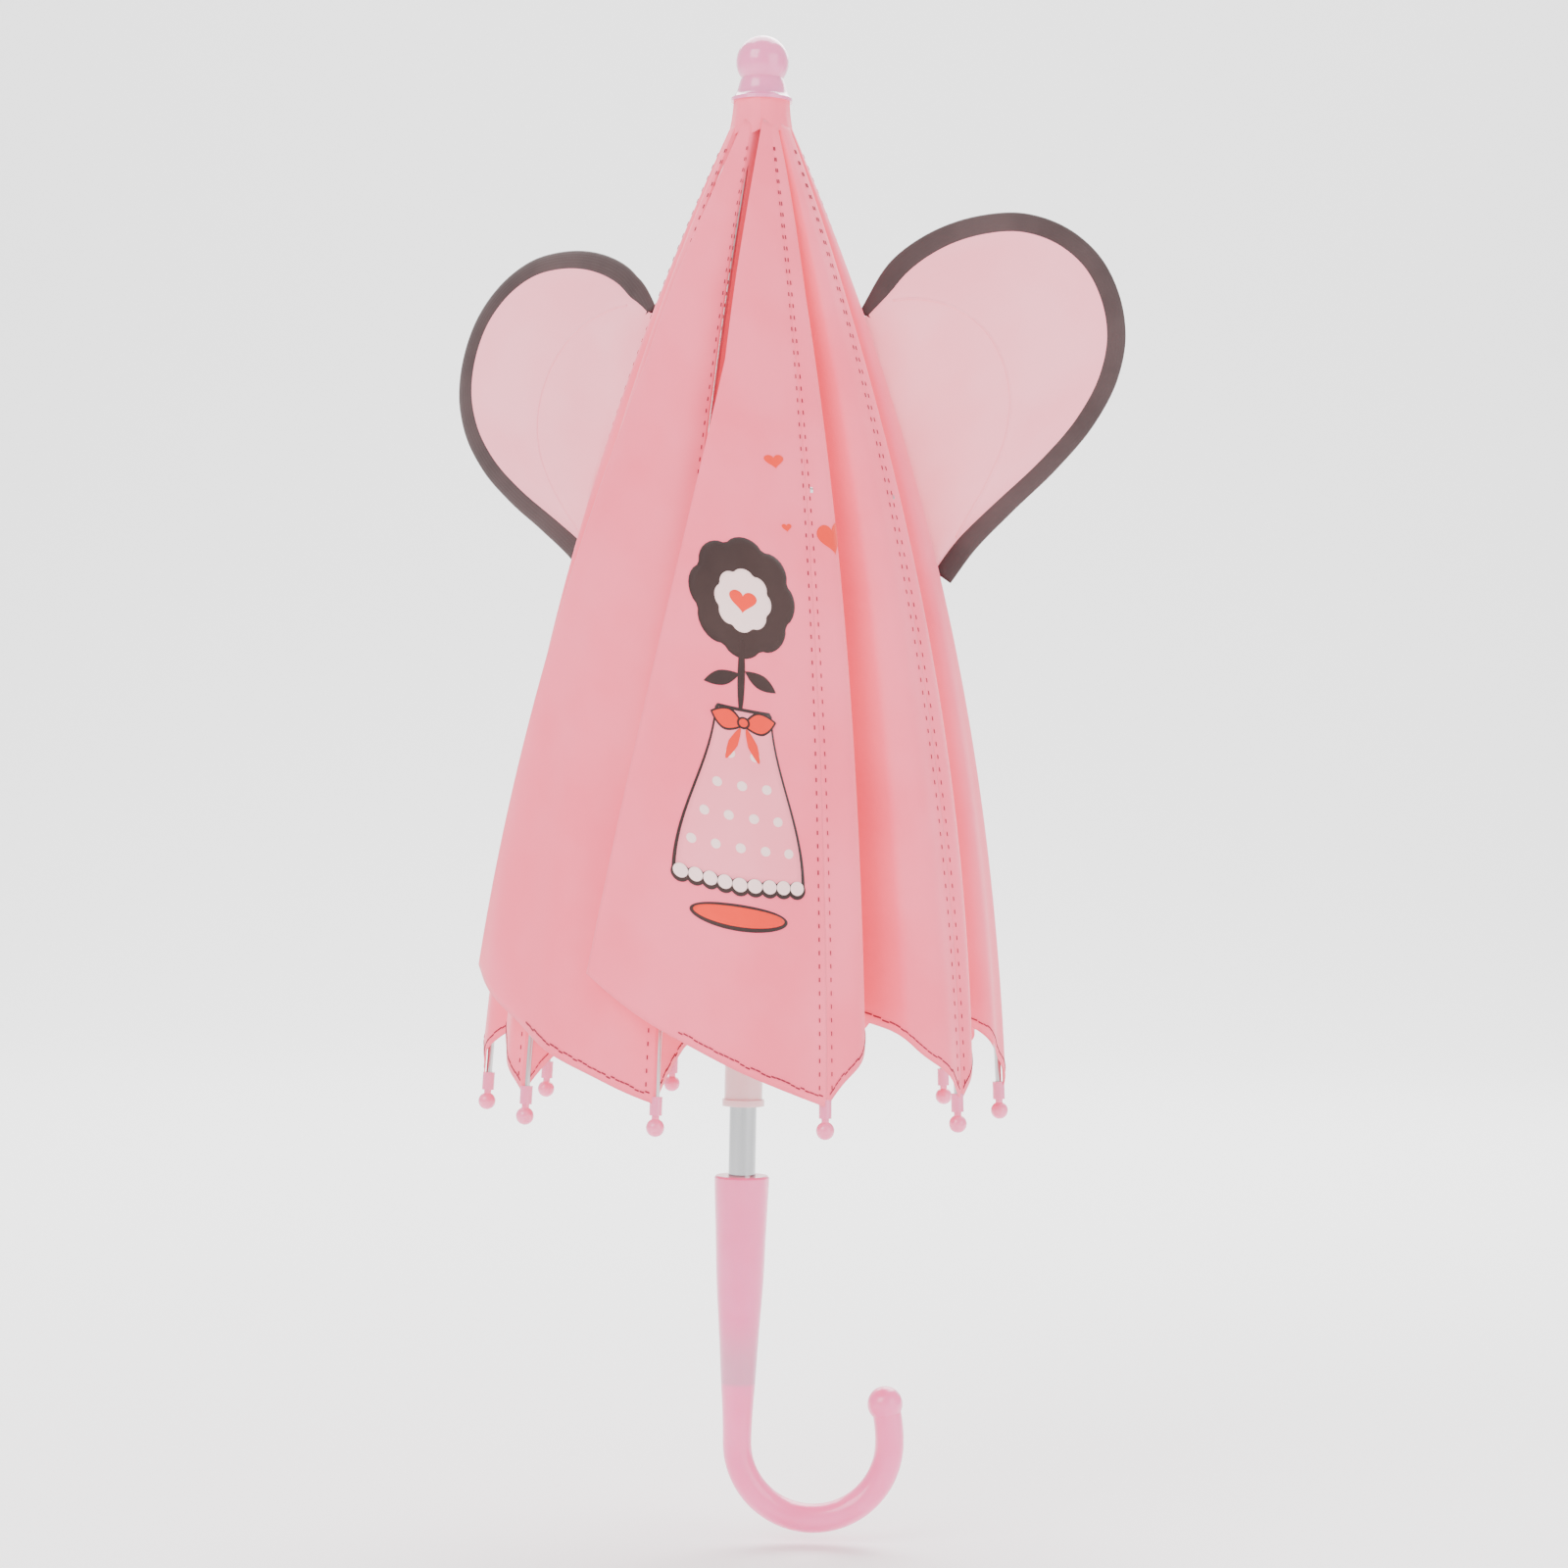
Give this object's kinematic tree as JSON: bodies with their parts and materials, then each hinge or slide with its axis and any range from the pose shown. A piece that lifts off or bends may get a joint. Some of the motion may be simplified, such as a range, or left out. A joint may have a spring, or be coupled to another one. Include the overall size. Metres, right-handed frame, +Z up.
{
  "type": "children's umbrella",
  "caption": "Small dome umbrella with a crook handle, heart-shaped ears and ball-tipped ribs, shown closed and unstrapped; it opens as the runner slides up.",
  "frame": {"origin": "on the shaft's axis at the handle's top face, where the hand grip begins", "axes": "+Z up the shaft to the ferrule, +X the side the crook opens to, -Y the front"},
  "size_m": [0.2493, 0.1856, 0.5494],
  "materials": {
    "chrome": "plated",
    "handle_plastic": "translucent gloss",
    "cap_plastic": "gloss",
    "frame_plastic": "satin",
    "frame_steel": "plated wire",
    "runner_plastic": "translucent",
    "tip_plastic": "gloss",
    "canopy_fabric": "plain woven polyester",
    "ear_fabric": "thin woven polyester"
  },
  "bodies": {
    "root": {"shaft_tube": "chrome", "crook_handle": "handle_plastic", "ferrule_cap": "cap_plastic", "crown_notch": "frame_plastic", "crown_ring_wire": "frame_steel"},
    "runner": {"runner": "runner_plastic"},
    "catch": {"catch_upper": "frame_steel"},
    "rib_01": {"rib_01": "frame_steel", "rib_tip_01": "tip_plastic"},
    "stretcher_01": {"stretcher_01": "frame_steel"},
    "panel_01_left": {"panel_01_left": "canopy_fabric"},
    "panel_01_right": {"panel_01_right": "canopy_fabric"},
    "rib_02": {"rib_02": "frame_steel", "rib_tip_02": "tip_plastic"},
    "stretcher_02": {"stretcher_02": "frame_steel"},
    "panel_02_left": {"panel_02_left": "canopy_fabric"},
    "panel_02_right": {"panel_02_right": "canopy_fabric"},
    "rib_03": {"rib_03": "frame_steel", "rib_tip_03": "tip_plastic", "ear_right": "ear_fabric"},
    "stretcher_03": {"stretcher_03": "frame_steel"},
    "panel_03_left": {"panel_03_left": "canopy_fabric"},
    "panel_03_right": {"panel_03_right": "canopy_fabric"},
    "rib_04": {"rib_04": "frame_steel", "rib_tip_04": "tip_plastic"},
    "stretcher_04": {"stretcher_04": "frame_steel"},
    "panel_04_left": {"panel_04_left": "canopy_fabric"},
    "panel_04_right": {"panel_04_right": "canopy_fabric"},
    "rib_05": {"rib_05": "frame_steel", "rib_tip_05": "tip_plastic"},
    "stretcher_05": {"stretcher_05": "frame_steel"},
    "panel_05_left": {"panel_05_left": "canopy_fabric"},
    "panel_05_right": {"panel_05_right": "canopy_fabric"},
    "rib_06": {"rib_06": "frame_steel", "rib_tip_06": "tip_plastic"},
    "stretcher_06": {"stretcher_06": "frame_steel"},
    "panel_06_left": {"panel_06_left": "canopy_fabric"},
    "panel_06_right": {"panel_06_right": "canopy_fabric"},
    "rib_07": {"rib_07": "frame_steel", "rib_tip_07": "tip_plastic"},
    "stretcher_07": {"stretcher_07": "frame_steel"},
    "panel_07_left": {"panel_07_left": "canopy_fabric"},
    "panel_07_right": {"panel_07_right": "canopy_fabric"},
    "rib_08": {"rib_08": "frame_steel", "rib_tip_08": "tip_plastic", "ear_left": "ear_fabric"},
    "stretcher_08": {"stretcher_08": "frame_steel"},
    "panel_08_left": {"panel_08_left": "canopy_fabric"},
    "panel_08_right": {"panel_08_right": "canopy_fabric"},
    "rib_09": {"rib_09": "frame_steel", "rib_tip_09": "tip_plastic"},
    "stretcher_09": {"stretcher_09": "frame_steel"},
    "panel_09_left": {"panel_09_left": "canopy_fabric"},
    "panel_09_right": {"panel_09_right": "canopy_fabric"},
    "rib_10": {"rib_10": "frame_steel", "rib_tip_10": "tip_plastic"},
    "stretcher_10": {"stretcher_10": "frame_steel"},
    "panel_10_left": {"panel_10_left": "canopy_fabric"},
    "panel_10_right": {"panel_10_right": "canopy_fabric"}
  },
  "joints": [
    {"name": "runner_slide", "type": "slide", "parent": "root", "child": "runner", "axis": [0, 0, 1], "range_m": [0, 0.09907], "deforming": ["panel_01_left", "panel_01_right", "panel_02_left", "panel_02_right", "panel_03_left", "panel_03_right", "panel_04_left", "panel_04_right", "panel_05_left", "panel_05_right", "panel_06_left", "panel_06_right", "panel_07_left", "panel_07_right", "panel_08_left", "panel_08_right", "panel_09_left", "panel_09_right", "panel_10_left", "panel_10_right"]},
    {"name": "catch_press", "type": "slide", "parent": "root", "child": "catch", "axis": [1, 0, 0], "range_m": [-0.0014, 0], "stiffness_N_per_m": 300, "springref_m": 0.0015},
    {"name": "rib_hinge_01", "type": "hinge", "parent": "root", "child": "rib_01", "pos_m": [0.00247, -0.00761, 0.388], "axis": [-0.9511, -0.309, 0], "range_deg": [0, 36.5]},
    {"name": "stretcher_hinge_01", "type": "hinge", "parent": "rib_01", "child": "stretcher_01", "pos_m": [0.01812, -0.05575, 0.24695], "axis": [0.9511, 0.309, 0], "range_deg": [0, 63.8]},
    {"name": "fold_01_left", "type": "hinge", "parent": "rib_01", "child": "panel_01_left", "pos_m": [0.00247, -0.00761, 0.388], "axis": [-0.0721, 0.222, 0.9724], "range_deg": [0, 81.53]},
    {"name": "fold_01_right", "type": "hinge", "parent": "rib_01", "child": "panel_01_right", "pos_m": [0.00247, -0.00761, 0.388], "axis": [0.0721, -0.222, -0.9724], "range_deg": [0, 81.53]},
    {"name": "rib_hinge_02", "type": "hinge", "parent": "root", "child": "rib_02", "pos_m": [0.00647, -0.0047, 0.388], "axis": [-0.5878, -0.809, 0], "range_deg": [0, 36.5]},
    {"name": "stretcher_hinge_02", "type": "hinge", "parent": "rib_02", "child": "stretcher_02", "pos_m": [0.04743, -0.03446, 0.24695], "axis": [0.5878, 0.809, 0], "range_deg": [0, 63.8]},
    {"name": "fold_02_left", "type": "hinge", "parent": "rib_02", "child": "panel_02_left", "pos_m": [0.00647, -0.0047, 0.388], "axis": [-0.1889, 0.1372, 0.9724], "range_deg": [0, 81.53]},
    {"name": "fold_02_right", "type": "hinge", "parent": "rib_02", "child": "panel_02_right", "pos_m": [0.00647, -0.0047, 0.388], "axis": [0.1889, -0.1372, -0.9724], "range_deg": [0, 81.53]},
    {"name": "rib_hinge_03", "type": "hinge", "parent": "root", "child": "rib_03", "pos_m": [0.008, 0, 0.388], "axis": [0, -1, 0], "range_deg": [0, 36.5]},
    {"name": "stretcher_hinge_03", "type": "hinge", "parent": "rib_03", "child": "stretcher_03", "pos_m": [0.05862, 0, 0.24695], "axis": [0, 1, 0], "range_deg": [0, 63.8]},
    {"name": "fold_03_left", "type": "hinge", "parent": "rib_03", "child": "panel_03_left", "pos_m": [0.008, 0, 0.388], "axis": [-0.2334, 0, 0.9724], "range_deg": [0, 81.53]},
    {"name": "fold_03_right", "type": "hinge", "parent": "rib_03", "child": "panel_03_right", "pos_m": [0.008, 0, 0.388], "axis": [0.2334, 0, -0.9724], "range_deg": [0, 81.53]},
    {"name": "rib_hinge_04", "type": "hinge", "parent": "root", "child": "rib_04", "pos_m": [0.00647, 0.0047, 0.388], "axis": [0.5878, -0.809, 0], "range_deg": [0, 36.5]},
    {"name": "stretcher_hinge_04", "type": "hinge", "parent": "rib_04", "child": "stretcher_04", "pos_m": [0.04743, 0.03446, 0.24695], "axis": [-0.5878, 0.809, 0], "range_deg": [0, 63.8]},
    {"name": "fold_04_left", "type": "hinge", "parent": "rib_04", "child": "panel_04_left", "pos_m": [0.00647, 0.0047, 0.388], "axis": [-0.1889, -0.1372, 0.9724], "range_deg": [0, 81.53]},
    {"name": "fold_04_right", "type": "hinge", "parent": "rib_04", "child": "panel_04_right", "pos_m": [0.00647, 0.0047, 0.388], "axis": [0.1889, 0.1372, -0.9724], "range_deg": [0, 81.53]},
    {"name": "rib_hinge_05", "type": "hinge", "parent": "root", "child": "rib_05", "pos_m": [0.00247, 0.00761, 0.388], "axis": [0.9511, -0.309, 0], "range_deg": [0, 36.5]},
    {"name": "stretcher_hinge_05", "type": "hinge", "parent": "rib_05", "child": "stretcher_05", "pos_m": [0.01812, 0.05575, 0.24695], "axis": [-0.9511, 0.309, 0], "range_deg": [0, 63.8]},
    {"name": "fold_05_left", "type": "hinge", "parent": "rib_05", "child": "panel_05_left", "pos_m": [0.00247, 0.00761, 0.388], "axis": [-0.0721, -0.222, 0.9724], "range_deg": [0, 81.53]},
    {"name": "fold_05_right", "type": "hinge", "parent": "rib_05", "child": "panel_05_right", "pos_m": [0.00247, 0.00761, 0.388], "axis": [0.0721, 0.222, -0.9724], "range_deg": [0, 81.53]},
    {"name": "rib_hinge_06", "type": "hinge", "parent": "root", "child": "rib_06", "pos_m": [-0.00247, 0.00761, 0.388], "axis": [0.9511, 0.309, 0], "range_deg": [0, 36.5]},
    {"name": "stretcher_hinge_06", "type": "hinge", "parent": "rib_06", "child": "stretcher_06", "pos_m": [-0.01812, 0.05575, 0.24695], "axis": [-0.9511, -0.309, 0], "range_deg": [0, 63.8]},
    {"name": "fold_06_left", "type": "hinge", "parent": "rib_06", "child": "panel_06_left", "pos_m": [-0.00247, 0.00761, 0.388], "axis": [0.0721, -0.222, 0.9724], "range_deg": [0, 81.53]},
    {"name": "fold_06_right", "type": "hinge", "parent": "rib_06", "child": "panel_06_right", "pos_m": [-0.00247, 0.00761, 0.388], "axis": [-0.0721, 0.222, -0.9724], "range_deg": [0, 81.53]},
    {"name": "rib_hinge_07", "type": "hinge", "parent": "root", "child": "rib_07", "pos_m": [-0.00647, 0.0047, 0.388], "axis": [0.5878, 0.809, 0], "range_deg": [0, 36.5]},
    {"name": "stretcher_hinge_07", "type": "hinge", "parent": "rib_07", "child": "stretcher_07", "pos_m": [-0.04743, 0.03446, 0.24695], "axis": [-0.5878, -0.809, 0], "range_deg": [0, 63.8]},
    {"name": "fold_07_left", "type": "hinge", "parent": "rib_07", "child": "panel_07_left", "pos_m": [-0.00647, 0.0047, 0.388], "axis": [0.1889, -0.1372, 0.9724], "range_deg": [0, 81.53]},
    {"name": "fold_07_right", "type": "hinge", "parent": "rib_07", "child": "panel_07_right", "pos_m": [-0.00647, 0.0047, 0.388], "axis": [-0.1889, 0.1372, -0.9724], "range_deg": [0, 81.53]},
    {"name": "rib_hinge_08", "type": "hinge", "parent": "root", "child": "rib_08", "pos_m": [-0.008, 0, 0.388], "axis": [0, 1, 0], "range_deg": [0, 36.5]},
    {"name": "stretcher_hinge_08", "type": "hinge", "parent": "rib_08", "child": "stretcher_08", "pos_m": [-0.05862, 0, 0.24695], "axis": [0, -1, 0], "range_deg": [0, 63.8]},
    {"name": "fold_08_left", "type": "hinge", "parent": "rib_08", "child": "panel_08_left", "pos_m": [-0.008, 0, 0.388], "axis": [0.2334, 0, 0.9724], "range_deg": [0, 81.53]},
    {"name": "fold_08_right", "type": "hinge", "parent": "rib_08", "child": "panel_08_right", "pos_m": [-0.008, 0, 0.388], "axis": [-0.2334, 0, -0.9724], "range_deg": [0, 81.53]},
    {"name": "rib_hinge_09", "type": "hinge", "parent": "root", "child": "rib_09", "pos_m": [-0.00647, -0.0047, 0.388], "axis": [-0.5878, 0.809, 0], "range_deg": [0, 36.5]},
    {"name": "stretcher_hinge_09", "type": "hinge", "parent": "rib_09", "child": "stretcher_09", "pos_m": [-0.04743, -0.03446, 0.24695], "axis": [0.5878, -0.809, 0], "range_deg": [0, 63.8]},
    {"name": "fold_09_left", "type": "hinge", "parent": "rib_09", "child": "panel_09_left", "pos_m": [-0.00647, -0.0047, 0.388], "axis": [0.1889, 0.1372, 0.9724], "range_deg": [0, 81.53]},
    {"name": "fold_09_right", "type": "hinge", "parent": "rib_09", "child": "panel_09_right", "pos_m": [-0.00647, -0.0047, 0.388], "axis": [-0.1889, -0.1372, -0.9724], "range_deg": [0, 81.53]},
    {"name": "rib_hinge_10", "type": "hinge", "parent": "root", "child": "rib_10", "pos_m": [-0.00247, -0.00761, 0.388], "axis": [-0.9511, 0.309, 0], "range_deg": [0, 36.5]},
    {"name": "stretcher_hinge_10", "type": "hinge", "parent": "rib_10", "child": "stretcher_10", "pos_m": [-0.01812, -0.05575, 0.24695], "axis": [0.9511, -0.309, 0], "range_deg": [0, 63.8]},
    {"name": "fold_10_left", "type": "hinge", "parent": "rib_10", "child": "panel_10_left", "pos_m": [-0.00247, -0.00761, 0.388], "axis": [0.0721, 0.222, 0.9724], "range_deg": [0, 81.53]},
    {"name": "fold_10_right", "type": "hinge", "parent": "rib_10", "child": "panel_10_right", "pos_m": [-0.00247, -0.00761, 0.388], "axis": [-0.0721, -0.222, -0.9724], "range_deg": [0, 81.53]}
  ],
  "couplings": [
    {"joint": "rib_hinge_01", "follows": "runner_slide", "rad_per_m": 6.4302},
    {"joint": "stretcher_hinge_01", "follows": "runner_slide", "rad_per_m": 11.239},
    {"joint": "fold_01_left", "follows": "runner_slide", "rad_per_m": 14.363},
    {"joint": "fold_01_right", "follows": "runner_slide", "rad_per_m": 14.363},
    {"joint": "rib_hinge_02", "follows": "runner_slide", "rad_per_m": 6.4302},
    {"joint": "stretcher_hinge_02", "follows": "runner_slide", "rad_per_m": 11.239},
    {"joint": "fold_02_left", "follows": "runner_slide", "rad_per_m": 14.363},
    {"joint": "fold_02_right", "follows": "runner_slide", "rad_per_m": 14.363},
    {"joint": "rib_hinge_03", "follows": "runner_slide", "rad_per_m": 6.4302},
    {"joint": "stretcher_hinge_03", "follows": "runner_slide", "rad_per_m": 11.239},
    {"joint": "fold_03_left", "follows": "runner_slide", "rad_per_m": 14.363},
    {"joint": "fold_03_right", "follows": "runner_slide", "rad_per_m": 14.363},
    {"joint": "rib_hinge_04", "follows": "runner_slide", "rad_per_m": 6.4302},
    {"joint": "stretcher_hinge_04", "follows": "runner_slide", "rad_per_m": 11.239},
    {"joint": "fold_04_left", "follows": "runner_slide", "rad_per_m": 14.363},
    {"joint": "fold_04_right", "follows": "runner_slide", "rad_per_m": 14.363},
    {"joint": "rib_hinge_05", "follows": "runner_slide", "rad_per_m": 6.4302},
    {"joint": "stretcher_hinge_05", "follows": "runner_slide", "rad_per_m": 11.239},
    {"joint": "fold_05_left", "follows": "runner_slide", "rad_per_m": 14.363},
    {"joint": "fold_05_right", "follows": "runner_slide", "rad_per_m": 14.363},
    {"joint": "rib_hinge_06", "follows": "runner_slide", "rad_per_m": 6.4302},
    {"joint": "stretcher_hinge_06", "follows": "runner_slide", "rad_per_m": 11.239},
    {"joint": "fold_06_left", "follows": "runner_slide", "rad_per_m": 14.363},
    {"joint": "fold_06_right", "follows": "runner_slide", "rad_per_m": 14.363},
    {"joint": "rib_hinge_07", "follows": "runner_slide", "rad_per_m": 6.4302},
    {"joint": "stretcher_hinge_07", "follows": "runner_slide", "rad_per_m": 11.239},
    {"joint": "fold_07_left", "follows": "runner_slide", "rad_per_m": 14.363},
    {"joint": "fold_07_right", "follows": "runner_slide", "rad_per_m": 14.363},
    {"joint": "rib_hinge_08", "follows": "runner_slide", "rad_per_m": 6.4302},
    {"joint": "stretcher_hinge_08", "follows": "runner_slide", "rad_per_m": 11.239},
    {"joint": "fold_08_left", "follows": "runner_slide", "rad_per_m": 14.363},
    {"joint": "fold_08_right", "follows": "runner_slide", "rad_per_m": 14.363},
    {"joint": "rib_hinge_09", "follows": "runner_slide", "rad_per_m": 6.4302},
    {"joint": "stretcher_hinge_09", "follows": "runner_slide", "rad_per_m": 11.239},
    {"joint": "fold_09_left", "follows": "runner_slide", "rad_per_m": 14.363},
    {"joint": "fold_09_right", "follows": "runner_slide", "rad_per_m": 14.363},
    {"joint": "rib_hinge_10", "follows": "runner_slide", "rad_per_m": 6.4302},
    {"joint": "stretcher_hinge_10", "follows": "runner_slide", "rad_per_m": 11.239},
    {"joint": "fold_10_left", "follows": "runner_slide", "rad_per_m": 14.363},
    {"joint": "fold_10_right", "follows": "runner_slide", "rad_per_m": 14.363}
  ]
}
